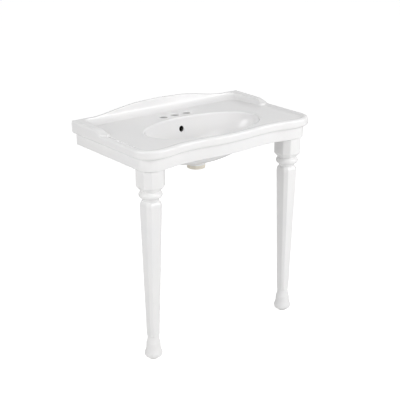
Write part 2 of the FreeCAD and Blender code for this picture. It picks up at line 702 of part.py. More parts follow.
def leg_stud(side):
    low = LEG_TOP_Z - BLOCK_H + STUD_COVER
    length = stud_top() - low
    rod = Part.makeCylinder(STUD_R, length, vec(side * LEG_X, -LEG_Y, low))
    return rod.makeChamfer(STUD_CHAMFER, [edge for edge in rod.Edges if len(edge.Vertexes) == 1])


def leg_gasket(side):
    """Rubber sheet between the head of the leg and the china pad."""
    x, y = side * LEG_X, -LEG_Y
    sheet = prism(octagon(GASKET_SIDE, BLOCK_CHAMFER * GASKET_SIDE / BLOCK_SIDE, LEG_TOP_Z, x, y),
                  vec(0, 0, GASKET_T))
    return sheet.cut(Part.makeCylinder(STUD_R + BORE_PLAY, GASKET_T + 2 * BITE,
                                       vec(x, y, LEG_TOP_Z - BITE)))


def stud_washer(side):
    x, y = side * LEG_X, -LEG_Y
    z = APRON_Z + PAD_T
    disc = Part.makeCylinder(WASHER_R, WASHER_T, vec(x, y, z))
    return disc.cut(Part.makeCylinder(STUD_R + BORE_PLAY, WASHER_T + 2 * BITE,
                                      vec(x, y, z - BITE)))


def wing_nut(side):
    """Wing nut that pulls the leg up against the top."""
    x, y = side * LEG_X, -LEG_Y
    z = APRON_Z + PAD_T + WASHER_T
    hub = Part.makeCone(NUT_R, NUT_TOP_R, NUT_H, vec(x, y, z))
    outline = [vec(out * WING_SPAN / 2, 0, up * WING_H) for out, up in WING_SHAPE]
    wings = []
    for turn in (0, 180):
        plate = prism(wire_through(outline), vec(0, WING_T, 0))
        plate.translate(vec(0, -WING_T / 2, 0))
        plate.rotate(vec(0, 0), vec(0, 0, 1), turn + 45 * side)
        plate.translate(vec(x, y, z))
        wings.append(plate)
    body = hub.fuse(wings)
    return body.cut(Part.makeCylinder(STUD_R, NUT_H + 2 * BITE, vec(x, y, z - BITE))).removeSplitter()


def foot_bung(side):
    """Rubber bung pushed into the open foot; its flange bears on the floor."""
    x, y = side * LEG_X, -LEG_Y
    flange = Part.makeCylinder(BUNG_FLANGE_R, FOOT_PAD_T, vec(x, y, 0))
    plug_r = FOOT_BORE_R - BUNG_PLAY
    plug = Part.makeCone(plug_r, plug_r - BUNG_TAPER, BUNG_PLUG_H, vec(x, y, FOOT_PAD_T))
    return flange.fuse(plug).removeSplitter()


# ---- output -------------------------------------------------------------------------------------------
def save(name, shape):
    shape.translate(vec(0, WALL_Y))
    shape.exportStep(os.path.join("parts", name + ".step"))


os.makedirs("parts", exist_ok=True)
save("console_top", console_top())
for side, hand in ((-1, "left"), (1, "right")):
    save(hand + "_leg", leg(side))
    save(hand + "_leg_gasket", leg_gasket(side))
    save(hand + "_leg_stud", leg_stud(side))
    save(hand + "_stud_cement", cement_anchor(side))
    save(hand + "_stud_washer", stud_washer(side))
    save(hand + "_wing_nut", wing_nut(side))
    save(hand + "_foot_bung", foot_bung(side))
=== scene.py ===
import math
import bmesh
import bpy
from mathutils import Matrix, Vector


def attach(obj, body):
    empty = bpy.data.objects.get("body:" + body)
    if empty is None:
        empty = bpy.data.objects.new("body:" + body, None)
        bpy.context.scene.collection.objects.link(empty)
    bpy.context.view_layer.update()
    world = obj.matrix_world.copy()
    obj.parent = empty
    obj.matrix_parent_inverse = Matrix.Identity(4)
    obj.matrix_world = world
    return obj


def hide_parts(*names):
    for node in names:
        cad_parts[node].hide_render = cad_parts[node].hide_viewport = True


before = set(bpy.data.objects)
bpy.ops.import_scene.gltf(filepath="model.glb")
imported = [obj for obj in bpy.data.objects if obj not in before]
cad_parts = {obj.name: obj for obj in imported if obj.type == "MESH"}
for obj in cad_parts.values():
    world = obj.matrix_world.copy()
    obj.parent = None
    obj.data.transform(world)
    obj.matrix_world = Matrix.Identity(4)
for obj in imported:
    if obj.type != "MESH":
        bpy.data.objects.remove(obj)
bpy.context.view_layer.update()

# ---- Console top ---------------------------------------------------------------
# One casting of vitreous china: deck, serpentine rim and apron, bowl, backsplash
# and arms. It is slip-cast in plaster moulds, sponged round at every edge, sprayed
# with glaze, wiped bare at the boss round the drain, and fired once.
WALL_Y = 218.0              # the wall face, from the origin; sizes are in millimetres
DECK_Z = 755.0              # the deck above the floor
HALF = 352.0                # half width over the apron
CORNER = 47.0               # radius of its front corners
DEPTH = 419.0               # wall to apron at the lobes beside the corners
DIP_X, DIP_Y = 176.0, 404.0             # where the front dips in: from the middle, from the wall
MIDDLE = 415.5              # wall to apron in the middle
FRONT = ((CORNER - HALF, -DEPTH), (-DIP_X, -DIP_Y), (0, -MIDDLE), (DIP_X, -DIP_Y),
         (HALF - CORNER, -DEPTH))
SIDE_STEPS, CORNER_STEPS, FRONT_STEPS, BACK_STEPS = 44, 24, 44, 88


def place(x, y, z):
    """Millimetres from the wall face and the floor, as metres in the frame."""
    return Vector((x / 1000, (y + WALL_Y) / 1000, z / 1000))


def front_line():
    """Points along the front of the apron, four S bends, with their outward normals."""
    points = []
    for (x0, y0), (x1, y1) in zip(FRONT, FRONT[1:]):
        run, rise = x1 - x0, y1 - y0
        radius = (run ** 2 + rise ** 2) / (4 * abs(rise))
        way = math.copysign(1, rise)
        for step in range(FRONT_STEPS):
            x = x0 + run * step / FRONT_STEPS
            first_half = x - x0 < run / 2
            near = x - x0 if first_half else x1 - x
            level = math.sqrt(radius ** 2 - near ** 2)
            drop = way * (radius - level)
            slope = way * near / level
            size = math.hypot(1, slope)
            points.append((x, y0 + drop if first_half else y1 - drop, slope / size, -1 / size))
    return points


def corner_line(side):
    """Points round one front corner, with their outward normals."""
    start = math.pi if side < 0 else 1.5 * math.pi
    points = []
    for step in range(CORNER_STEPS):
        turn = math.pi / 2 * step / CORNER_STEPS + start
        nx, ny = math.cos(turn), math.sin(turn)
        points.append((side * (HALF - CORNER) + CORNER * nx, CORNER - DEPTH + CORNER * ny, nx, ny))
    return points


CURVE = corner_line(-1) + front_line() + corner_line(1)


def outline(out, up, back):
    """The plan of the top, set out from the apron face, at a height above the deck; back
    is where its wall edge lies."""
    half, low = HALF + out, CORNER - DEPTH
    left = [(-half, back + (low - back) * i / SIDE_STEPS) for i in range(SIDE_STEPS)]
    curve = [(x + nx * out, y + ny * out) for x, y, nx, ny in CURVE]
    right = [(half, low + (back - low) * i / SIDE_STEPS) for i in range(SIDE_STEPS)]
    wall = [(half - 2 * half * i / BACK_STEPS, back) for i in range(BACK_STEPS)]
    return [place(x, y, DECK_Z + up) for x, y in left + curve + right + wall]


def arc(start, middle, end, steps):
    """Points on the arc through three points, without its start."""
    (ax, ay), (bx, by), (cx, cy) = start, middle, end
    d = 2 * (ax * (by - cy) + bx * (cy - ay) + cx * (ay - by))
    a, b, c = ax ** 2 + ay ** 2, bx ** 2 + by ** 2, cx ** 2 + cy ** 2
    ux = (a * (by - cy) + b * (cy - ay) + c * (ay - by)) / d
    uy = (a * (cx - bx) + b * (ax - cx) + c * (bx - ax)) / d
    radius = math.hypot(ax - ux, ay - uy)
    turns = [math.atan2(y - uy, x - ux) for x, y in (start, middle, end)]
    sweep = sum(math.remainder(after - before, 2 * math.pi) for before, after in zip(turns, turns[1:]))
    turns = [turns[0] + sweep * step / steps for step in range(1, steps + 1)]
    return [(ux + radius * math.cos(turn), uy + radius * math.sin(turn)) for turn in turns]


APRON = 69.0                # foot of the apron below the deck
FOOT = 9.0                  # height of its rounded foot
CHINA = 11.0                # thickness of the deck and the apron
BACK = 14.0                 # thickness of the back, at the wall
RIM = 17.0                  # overhang of the rim beyond the apron
CREST_OUT, CREST = 7.0, 6.0             # crest of the rim: beyond the apron, above the deck
FALL, FALL_STEPS = 22.0, 16             # width of the S bend from the crest to the deck


def rim_profile():
    """The rim in section as (out, up) pairs, from inside the apron's foot to the deck."""
    line = [(-CHINA, 2 - APRON), (0.6 - CHINA, 0.6 - APRON), (2 - CHINA, -APRON), (-4, -APRON)]
    line += arc((-2.6, -APRON), (-0.76, 0.76 - APRON), (0, 2.6 - APRON), 5)
    line += [(0, FOOT - APRON), (0, -50), (0, -40), (0, -33)]           # the apron's face
    line += arc((0, -30), (1.17, -27.17), (4, -26), 8)                  # cove
    line += [(5.4, -25.95), (6.3, -25.9)]
    line += arc((6.5, -25.8), (13.9, -23.3), (RIM, -17), 12)            # ovolo
    line += [(RIM, -14.5), (RIM, -10.7), (RIM, -7)]                     # fascia
    line += arc((RIM, -4), (14.07, 3.07), (CREST_OUT, CREST), 14)       # crown
    radius = (FALL ** 2 + CREST ** 2) / (4 * CREST)
    for step in range(1, FALL_STEPS + 1):
        run = FALL * step / FALL_STEPS
        near = min(run, FALL - run)
        fall = radius - math.sqrt(radius ** 2 - near ** 2)
        line.append((CREST_OUT - run, CREST - fall if run <= FALL / 2 else fall))
    return line


def wall_edge(out, up):
    """Where a ring of the rim ends at the wall: on the wall outside, short of it on the
    deck's side, and round the foot of the back itself."""
    if up > FOOT - APRON:
        return min(out, 0)
    return -BACK * min(1, -out / CHINA) if out <= -1 else 0


DECK_IN = 17.0              # edge of the flat deck inside the apron's face
BOWL = (232.0, 127.0)       # half length and half width of the bowl under its lip
BOWL_Y, DRAIN_Y = 262.0, 220.0          # wall to the middle of the bowl, and of its drain
BOWL_DEPTH, BOWL_WALL = 132.0, 10.0
BOWL_POWER = 2.1            # its section is a little fuller than an ellipse
BOWL_ANGLES = (1.5, 4, 7, *range(11, 76, 4), 78, 80.5)
BOWL_SHARES = [math.sin(math.radians(angle)) for angle in BOWL_ANGLES]
LIP = 6.0                   # radius of its round lip
LIP_ANGLES = (4, 12, 22, 34, 46, 58, 70, 81, 90)
SEAT, SEAT_DEPTH = 31.0, 3.0            # radius and depth of the drain's recess
BORE, BOSS = 22.5, 32.5     # radii of the drain's bore and of the boss round it
BOSS_FOOT = 165.0           # foot of the boss below the deck
DECK_EDGE = outline(-DECK_IN, 0, -DECK_IN)
TURNS = [math.atan2(p.y - place(0, -BOWL_Y, 0).y, p.x) for p in DECK_EDGE]


def oval(half_x, half_y, centre, up):
    """An ellipse with one point toward each point of the deck's edge."""
    points = []
    for turn in TURNS:
        reach = 1 / math.hypot(math.cos(turn) / half_x, math.sin(turn) / half_y)
        points.append(place(reach * math.cos(turn), -centre + reach * math.sin(turn), DECK_Z + up))
    return points


def wider_bowl(out, up):
    """The bowl's oval under the lip, made wider all round, at a height above the deck."""
    return oval(BOWL[0] + out, BOWL[1] + out, BOWL_Y, up)


def blend(first, last, share):
    """A ring part of the way from one ring to another."""
    return [a.lerp(b, share) for a, b in zip(first, last)]


def bowl_section(share, wall):
    """Half length, half width, middle and height of the bowl at a share of its depth, with
    a wall outside it."""
    size = (1 - share ** BOWL_POWER) ** (1 / BOWL_POWER)
    centre = BOWL_Y - (BOWL_Y - DRAIN_Y) * share ** 2
    up = -LIP - share * (BOWL_DEPTH - LIP) - wall * share ** 3
    return BOWL[0] * size + wall, BOWL[1] * size + wall, centre, up


def drain_profile():
    """Recess, bore and boss of the drain as (radius, up) pairs, with softened edges."""
    floor, seat, under = -BOWL_DEPTH, -BOWL_DEPTH - SEAT_DEPTH, -BOWL_DEPTH - BOWL_WALL
    recess = [(SEAT + 5, floor + 0.25), (SEAT + 2, floor), (SEAT + 0.8, floor - 0.3),
              (SEAT + 0.1, floor - 1), (SEAT, floor - 2), (SEAT - 0.6, seat + 0.1),
              (SEAT - 2, seat), (SEAT - 6, seat)]
    bored = [(BORE + 0.9, seat - 0.2), (BORE + 0.1, seat - 1), (BORE, seat - 3), (BORE, seat - 15),
             (BORE, 2 - BOSS_FOOT), (BORE + 0.6, 0.5 - BOSS_FOOT), (BORE + 1.7, -BOSS_FOOT)]
    boss = [(BOSS - 1.9, -BOSS_FOOT), (BOSS - 0.5, 0.6 - BOSS_FOOT), (BOSS, 2 - BOSS_FOOT),
            (BOSS, under - 12), (BOSS, under - 4), (BOSS + 0.7, under - 1.8), (BOSS + 3, under - 0.6)]
    return recess + bored + boss


def top_rings():
    """Every ring of the casting: over the rim and the deck, down the bowl and through the
    drain, and back under the bowl and the deck to the inside of the apron."""
    rings = [outline(out, up, wall_edge(out, up)) for out, up in rim_profile()]
    edge = wider_bowl(LIP + 1.5, 0)
    rings += [blend(DECK_EDGE, edge, share) for share in (0, 0.2, 0.4, 0.6, 0.8, 0.92, 1)]
    for turn in [math.radians(angle) for angle in LIP_ANGLES]:
        rings.append(wider_bowl(LIP * (1 - math.sin(turn)), LIP * (math.cos(turn) - 1)))
    rings += [oval(*bowl_section(share, 0)) for share in BOWL_SHARES]
    rings += [oval(radius, radius, DRAIN_Y, up) for radius, up in drain_profile()]
    rings += [oval(*bowl_section(share, BOWL_WALL)) for share in reversed(BOWL_SHARES)]
    rings += [wider_bowl(BOWL_WALL + out, up - CHINA) for out, up in ((0.2, 1.4), (0.6, 0.7), (1, 0.2))]
    under = wider_bowl(BOWL_WALL + 1.5, -CHINA)
    inner = outline(-CHINA - 2.2, -CHINA, -BACK - 2.2)
    rings += [blend(under, inner, share) for share in (0, 0.25, 0.5, 0.75, 1)]
    rings += [outline(-CHINA - cove, -CHINA - drop, -BACK - cove) for cove, drop in
              ((1.3, 0.3), (0.6, 1), (0.2, 2), (0, 4), (0, 19), (0, 34), (0, 49))]
    return rings


def skin(rings, closed):
    """A surface extruded ring by ring, where each vertex keeps its place in its ring. It
    closes on its first ring, or else both ends are filled."""
    bm = bmesh.new()
    order = bm.verts.layers.int.new("order")
    verts = [bm.verts.new(point) for point in rings[0]]
    for number, vert in enumerate(verts):
        vert[order] = number
    first = loop = [bm.edges.new(pair) for pair in zip(verts, verts[1:] + verts[:1])]
    for ring in rings[1:]:
        made = bmesh.ops.extrude_edge_only(bm, edges=loop)["geom"]
        fresh = {part for part in made if isinstance(part, bmesh.types.BMVert)}
        for vert in fresh:
            vert.co = ring[vert[order]]
        loop = [part for part in made if isinstance(part, bmesh.types.BMEdge) and set(part.verts) <= fresh]
    if closed:
        bmesh.ops.bridge_loops(bm, edges=first + loop)
    else:
        bmesh.ops.edgeloop_fill(bm, edges=first)
        bmesh.ops.edgeloop_fill(bm, edges=loop)
    bmesh.ops.recalc_face_normals(bm, faces=bm.faces)
    return bm


def piece(name, bm):
    """A mesh object made from a bmesh, at the origin."""
    mesh = bpy.data.meshes.new(name)
    bm.to_mesh(mesh)
    bm.free()
    made = bpy.data.objects.new(name, mesh)
    bpy.context.scene.collection.objects.link(made)
    return made


SPLASH = 47.5               # crest of the backsplash above the deck
ARM = 20.0                  # its flat ends and the arms above the deck
SWELL_X = HALF - 60         # half length of its swell, and the swell's knots
SWELL = ((0, 1, 0), (0.4, 0.84, -1.0426), (0.66, 0.45, -1.84), (1, 0, 0))
NOSE_Y = 190.0              # wall to the nose of an arm
SCROLL_Y = NOSE_Y - 50      # wall to the start of an arm's scroll, and its knots
SCROLL = ((0, ARM, 0), (27.5, 13.7, -0.3227), (55, 4.5, -0.4))
THICK, TAPER = 10.0, 4.0    # backsplash at its crest, and how much more at the deck
SPLASH_COVE, ARM_COVE = 30.0, 16.0      # reach of the coves at their feet over the deck
COVE_POWER = 2.2            # the coves' curve
ARM_IN, SPLAY = 20.0, 9.0   # an arm's inner face inside the apron, and how far it turns out
BEND, BEND_IN = 26.0, 7.6   # inner corner: its radius, and its middle from both faces
SPREAD = 1.02               # the outer points lie a little wider than the inner ones
NOSE_TURN = 85.0            # degrees of the nose's round; a narrow cap closes the rest
INSET = 0.02                # outer faces inside those of the top, so that none coincide
SIDE = HALF + RIM - INSET
SUNK = 4.0                  # how far its foot is let into the deck
EDGE_IN, EDGE_OUT = 3.2, 1.5            # radii of the backsplash's inner and outer edges
ARM_EDGE, ARM_EDGE_MORE, ARM_EDGE_Y = 5.0, 7.0, 130.0   # an arm's outer edge grows forward
COVE_SHARES = (0.86, 0.74, 0.63, 0.53, 0.43, 0.34, 0.26, 0.18, 0.11, 0.05, 0)
SPLASH_STEPS, BEND_STEPS, ARM_STEPS, NOSE_STEPS, EDGE_STEPS = 60, 12, 30, 11, 6


def cubic(knots, at):
    """A smooth curve through knots of (place, height, slope)."""
    at = min(max(at, knots[0][0]), knots[-1][0])
    for (x0, y0, m0), (x1, y1, m1) in zip(knots, knots[1:]):
        if at <= x1:
            break
    span = x1 - x0
    t = (at - x0) / span
    return ((2 * t ** 3 - 3 * t ** 2 + 1) * y0 + (t ** 3 - 2 * t ** 2 + t) * span * m0
            + (3 * t ** 2 - 2 * t ** 3) * y1 + (t ** 3 - t ** 2) * span * m1)


def splash_height(x, y):
    """Top of the backsplash and arms above the deck: it swells in the middle and scrolls
    down to the rim at the nose of each arm."""
    if -y > SCROLL_Y:
        return cubic(SCROLL, -y - SCROLL_Y)
    return ARM + (SPLASH - ARM) * cubic(SWELL, min(1, abs(x) / SWELL_X))


def splash_path(up):
    """Pairs of outer and inner plan points at a height above the deck, from the middle
    of the backsplash round to the nose of the right arm."""
    flare = max(0.0, 1 - max(up, 0) / ARM) ** COVE_POWER
    thick = THICK + TAPER * max(0, 1 - max(up, 0) / SPLASH) + SPLASH_COVE * flare
    inner = HALF - ARM_IN - ARM_COVE * flare
    straight, tip = inner - BEND, inner + SPLAY
    nose_r = (SIDE - tip) / 2
    nose_y = nose_r - NOSE_Y
    corner = (inner + SPLAY / (NOSE_Y - thick) * BEND, -thick - BEND)
    bend = arc((straight, -thick), (inner - BEND_IN, -thick - BEND_IN), corner, BEND_STEPS)
    pairs = []
    for step in range(SPLASH_STEPS + 1):
        x = straight * step / SPLASH_STEPS
        pairs.append(((x * SPREAD, -INSET), (x, -thick)))
    last = SPREAD * straight
    for step, point in enumerate(bend, 1):
        pairs.append(((last + (SIDE - last) * step / BEND_STEPS, -INSET), point))
    for step in range(1, ARM_STEPS + 1):
        share = step / ARM_STEPS
        pairs.append(((SIDE, nose_y * share),
                      (corner[0] + (tip - corner[0]) * share, corner[1] + (nose_y - corner[1]) * share)))
    middle = SIDE - nose_r
    for step in range(1, NOSE_STEPS + 1):
        turn = math.radians(NOSE_TURN * step / NOSE_STEPS)
        out, forward = nose_r * math.cos(turn), nose_y - nose_r * math.sin(turn)
        pairs.append(((middle + out, forward), (middle - out, forward)))
    return pairs


def splash_rings():
    """Cross-sections of backsplash and arms: up the outside, over its rounded edges, and
    down the inner face into the cove at its foot."""
    levels = {}

    def at(index, up, inside):
        """One point of the path at a height; each height's path is worked out once."""
        key = round(up, 3)
        if key not in levels:
            levels[key] = splash_path(up)
        return levels[key][index][inside]

    right = []
    for index in range(len(splash_path(0))):
        on_arm = index > SPLASH_STEPS + BEND_STEPS
        y = at(index, ARM, 1)[1]
        mid = [(a + b) / 2 for a, b in zip(at(index, ARM, 0), at(index, ARM, 1))]
        top = splash_height(mid[0], mid[1] if on_arm else y)
        width = math.dist(at(index, top, 0), at(index, top, 1))
        edge = ARM_EDGE + ARM_EDGE_MORE * max(0, min(1, -y / ARM_EDGE_Y)) if on_arm else EDGE_OUT
        out_r = min(edge, 0.5 * width, top / 2)
        in_r = min(EDGE_IN, 0.4 * width, top / 2)
        outer = [Vector(at(index, up, 0) + (up,)) for up in (-SUNK, -SUNK / 4, top / 2, top - out_r)]
        down = [share * (top - in_r) for share in (1, *COVE_SHARES)] + [-SUNK]
        inner = [Vector(at(index, up, 1) + (up,)) for up in down]
        across = (inner[0] - outer[-1]).normalized()
        flat = Vector((across.x, across.y, 0))
        over = []
        for step in range(1, EDGE_STEPS + 1):
            turn = math.pi / 2 * step / EDGE_STEPS
            rise = Vector((0, 0, out_r * math.sin(turn)))
            over.append(outer[-1] + flat * out_r * (1 - math.cos(turn)) + rise)
        for step in range(EDGE_STEPS):
            turn = math.pi / 2 * (1 - step / EDGE_STEPS)
            rise = Vector((0, 0, in_r * math.sin(turn)))
            over.append(inner[0] - flat * in_r * (1 - math.cos(turn)) + rise)
        right.append([place(p.x, p.y, DECK_Z + p.z) for p in outer + over + inner])
    left = [[Vector((-p.x, p.y, p.z)) for p in ring] for ring in reversed(right[1:])]
    return left + right


RIB = (10.0, 400.0, 34.0)   # each stiffening rib: thickness, length and height
RIB_X, RIB_Y, RIB_DROP = 268.0, 410.0, 42.0     # its place, front end and foot below the deck
RIB_SOFT = 1.2              # bevel of its edges


def block(corner, size):
    """A box given in millimetres, with its edges softened."""
    bm = bmesh.new()
    bmesh.ops.create_cube(bm, size=1)
    for vert in bm.verts:
        vert.co = place(*[low + (0.5 + share) * span for low, share, span in zip(corner, vert.co, size)])
    bmesh.ops.bevel(bm, geom=bm.edges[:], offset=RIB_SOFT / 1000, segments=2, profile=0.5,
                    affect="EDGES", material=-1)
    return bm


def slab(points, travel):
    """A flat face through the points, extruded by travel, both in metres."""
    bm = bmesh.new()
    face = bm.faces.new([bm.verts.new(point) for point in points])
    made = bmesh.ops.extrude_face_region(bm, geom=[face])["geom"]
    moved = [part for part in made if isinstance(part, bmesh.types.BMVert)]
    bmesh.ops.translate(bm, vec=travel, verts=moved)
    bmesh.ops.recalc_face_normals(bm, faces=bm.faces)
    return bm


PAD_X, PAD_Y = HALF - 110, 309.0        # inner edges of the pads over the legs
PAD_IN, PAD_THICK = 9.0, 12.0           # edge of a pad inside the apron's face, its thickness


def leg_pad(side):
    """The web in a corner of the apron that the leg bears on."""
    corner = place(side * PAD_X, -PAD_Y, DECK_Z - APRON)
    ring = [p for p in outline(-PAD_IN, -APRON, -BACK) if side * p.x > side * corner.x and p.y < corner.y]
    return slab(ring + [corner], (0, 0, PAD_THICK / 1000))


DUCT_SHARES = (0.18, 0.3, 0.45, 0.58, 0.7, 0.79, 0.86, 0.92, 0.96)


def duct(gaps, half, top, roof, low, end):
    """A curved slab behind and under the bowl, between two gaps from its wall: the
    overflow duct, or the passage in it. It starts at the height top, and ends at the
    place end, between the heights roof and low."""
    def line(gap, last):
        sections = [bowl_section(share, BOWL_WALL + gap) for share in DUCT_SHARES]
        points = [(half_y - centre, up) for _, half_y, centre, up in sections]
        return [(points[0][0], top)] + points[1:] + [(end, last)]

    section = line(gaps[0], roof) + line(gaps[1], low)[::-1]
    return slab([place(-half, y, DECK_Z + up) for y, up in section], (2 * half / 1000, 0, 0))


BORE_STEPS, MOUTH_STEPS = 64, 5         # sides of a hole, and steps of its rounded mouth
CLEAR = 6.0                 # how far a cutter stands out of the surface
FAUCET_PITCH, FAUCET_Y, FAUCET_R = 50.8, 97.0, 15.0     # the three faucet holes
INLET_Y, INLET_DROP, INLET_R = 136.8, 43.0, 10.5        # the overflow's inlet in the bowl
PORT_Y, PORT_DROP, PORT_R, PORT_LONG = 204.0, 148.0, 6.0, 13.0      # and its port to the drain
BOLT_X, BOLT_DROP, BOLT_R = 240.0, 40.0, 7.0            # wall-bolt holes in the back
LEG_X, LEG_Y, STUD_R = 301.0, 366.5, 7.5                # the legs' axes, the studs' holes


def bore(centre, axis, profile):
    """A turned cutter: radius and travel along the axis from the centre, in millimetres."""
    bm = bmesh.new()
    axis = Vector(axis)
    side = axis.orthogonal().normalized()
    verts = [bm.verts.new(centre + (side * r + axis * along) / 1000) for r, along in profile]
    edges = [bm.edges.new(pair) for pair in zip(verts, verts[1:])]
    bmesh.ops.spin(bm, geom=verts + edges, cent=centre, axis=axis, angle=2 * math.pi,
                   steps=BORE_STEPS, use_merge=True)
    bmesh.ops.remove_doubles(bm, verts=bm.verts[:], dist=1e-6)
    bmesh.ops.recalc_face_normals(bm, faces=bm.faces)
    return bm


def mouth(radius, soft, depth):
    """Profile of a hole that is rounded by soft where it meets the surface."""
    turns = [math.pi / 2 * step / MOUTH_STEPS for step in range(MOUTH_STEPS + 1)]
    rounding = [(radius + soft * (1 - math.sin(turn)), -soft * (1 - math.cos(turn))) for turn in turns]
    above = [(0, CLEAR), (radius + soft + 1.5, CLEAR), (radius + soft + 0.4, 0.2)]
    return above + rounding + [(radius, -depth), (0, -depth)]


def holes():
    """Cutters for the overflow passage, its port and inlet, the faucet holes, the
    wall-bolt holes and the stud holes."""
    port = [(0, 0), (PORT_R, 0), (PORT_R, PORT_LONG), (0, PORT_LONG)]
    cutters = [duct(gaps=(0, 9), half=19, top=-33, roof=-142, low=-154, end=-193.5),
               bore(place(0, -PORT_Y, DECK_Z - PORT_DROP), (0, 1, 0), port)]
    for x in (-FAUCET_PITCH, 0, FAUCET_PITCH):
        cutters.append(bore(place(x, -FAUCET_Y, DECK_Z), (0, 0, 1), mouth(FAUCET_R, 1.4, 16)))
    cutters.append(bore(place(0, -INLET_Y, DECK_Z - INLET_DROP), (0, -1, 0.2), mouth(INLET_R, 1.2, 16)))
    for x in (-BOLT_X, BOLT_X):
        cutters.append(bore(place(x, 0, DECK_Z - BOLT_DROP), (0, 1, 0), mouth(BOLT_R, 0.6, 18)))
    for x in (-LEG_X, LEG_X):
        cutters.append(bore(place(x, -LEG_Y, DECK_Z - APRON), (0, 0, -1), mouth(STUD_R, 0.6, 16)))
    return cutters


def combine(body, parts, way):
    """Fuses the parts to the body, or cuts them from it, and keeps the result as its mesh."""
    for bm in parts:
        part = piece("part", bm)
        boolean = body.modifiers.new("combine", "BOOLEAN")
        boolean.operation = way
        boolean.solver = "MANIFOLD"
        boolean.object = part
        result = bpy.data.meshes.new_from_object(body.evaluated_get(bpy.context.evaluated_depsgraph_get()))
        body.modifiers.clear()
        body.data = result
        bpy.data.objects.remove(part)


def finish_surface(body, angle):
    """Smooth shading that keeps edges sharper than the angle, even beside small faces."""
    body.data.shade_smooth()
    body.data.set_sharp_from_angle(angle=math.radians(angle))
    weighted = body.modifiers.new("weighted normals", "WEIGHTED_NORMAL")
    weighted.keep_sharp = True


def add(tree, kind, inputs=None, **settings):
    """Adds a node; an input given as a socket is linked, any other is its value."""
    made = tree.nodes.new(kind)
    for name, value in settings.items():
        setattr(made, name, value)
    for name, value in (inputs or {}).items():
        if isinstance(value, bpy.types.NodeSocket):
            tree.links.new(value, made.inputs[name])
        else:
            made.inputs[name].default_value = value
    return made


def colour(code):
    """An sRGB hex colour as the linear values that Blender's sockets take."""
    parts = [int(code[i:i + 2], 16) / 255 for i in (1, 3, 5)]
    return [c / 12.92 if c <= 0.04045 else ((c + 0.055) / 1.055) ** 2.4 for c in parts] + [1]


def blank(name):
    """A new material with nothing in it; returns it, its tree and the object coordinates."""
    made = bpy.data.materials.new(name)
    made.use_nodes = True
    made.node_tree.nodes.clear()
    tree = made.node_tree
    return made, tree, add(tree, "ShaderNodeTexCoord").outputs["Object"]


def near_axis(tree, x, y, centre_y, radius):
    """1 within a radius of an upright axis at x = 0, 0 outside it; all in metres."""
    dy = add(tree, "ShaderNodeMath", {0: y, 1: centre_y}, operation="SUBTRACT").outputs[0]
    flat = add(tree, "ShaderNodeCombineXYZ", {"X": x, "Y": dy}).outputs[0]
    away = add(tree, "ShaderNodeVectorMath", {0: flat}, operation="LENGTH").outputs["Value"]
    return add(tree, "ShaderNodeMapRange", {"Value": away, "From Min": radius + 0.0005,
                                            "From Max": radius - 0.0005},
               interpolation_type="SMOOTHSTEP").outputs["Result"]


BARE_START, BARE_DROP = 150.5, 152.0    # where the glaze ends on the boss, below the deck


def boss_is_bare(tree, xyz):
    """The glaze is wiped off the lower part of the boss round the drain."""
    near = near_axis(tree, xyz.outputs["X"], xyz.outputs["Y"], place(0, -DRAIN_Y, 0).y, (BOSS + 1.5) / 1000)
    start, end = (DECK_Z - BARE_START) / 1000, (DECK_Z - BARE_DROP) / 1000
    low = add(tree, "ShaderNodeMapRange", {"Value": xyz.outputs["Z"], "From Min": start, "From Max": end},
              interpolation_type="SMOOTHSTEP").outputs["Result"]
    return add(tree, "ShaderNodeMath", {0: near, 1: low}, operation="MULTIPLY").outputs[0]


SHADE_Y, SHADE_DROP = 118.0, 44.0       # middle of the painted shade in the overflow passage
SHADE_R, SHADE_EDGE = 17.2, 15.2        # its radius, fading in from the first to the second
HOLE_SHADE = 0.42                       # how dark the painted shade in the faucet holes is, beside that in the passage


def holes_painted_shade(tree, coords, xyz):
    """Painted shade in the holes: the walls of the overflow passage are painted near black, and those of
    the faucet holes are painted darker."""
    from_middle = add(tree, "ShaderNodeVectorMath", {0: coords, 1: place(0, -SHADE_Y, DECK_Z - SHADE_DROP)},
                      operation="DISTANCE").outputs["Value"]
    passage = add(tree, "ShaderNodeMapRange", {"Value": from_middle, "From Min": SHADE_R / 1000,
                                               "From Max": SHADE_EDGE / 1000},
                  interpolation_type="SMOOTHSTEP").outputs["Result"]
    side = add(tree, "ShaderNodeMath", {0: xyz.outputs["X"]}, operation="ABSOLUTE").outputs[0]
    outer = add(tree, "ShaderNodeMath", {0: side, 1: FAUCET_PITCH / 1000}, operation="SUBTRACT").outputs[0]
    outer = add(tree, "ShaderNodeMath", {0: outer}, operation="ABSOLUTE").outputs[0]
    from_hole = add(tree, "ShaderNodeMath", {0: side, 1: outer}, operation="MINIMUM").outputs[0]
    bores = near_axis(tree, from_hole, xyz.outputs["Y"], place(0, -FAUCET_Y, 0).y, (FAUCET_R + 0.5) / 1000)
    for start, end in ((DECK_Z - 1.8, DECK_Z - 3.2), (DECK_Z - CHINA + 0.1, DECK_Z - CHINA + 0.5)):
        inside = add(tree, "ShaderNodeMapRange", {"Value": xyz.outputs["Z"], "From Min": start / 1000,
                                                  "From Max": end / 1000},
                     interpolation_type="SMOOTHSTEP").outputs["Result"]
        bores = add(tree, "ShaderNodeMath", {0: bores, 1: inside}, operation="MULTIPLY").outputs[0]
    bores = add(tree, "ShaderNodeMath", {0: bores, 1: HOLE_SHADE}, operation="MULTIPLY").outputs[0]
    return add(tree, "ShaderNodeMath", {0: passage, 1: bores}, operation="MAXIMUM").outputs[0]


DRIFT, PEEL, WAVES, GRAIN = 110.0, 6.25, 70.0, 0.7      # widths of the patterns in the china


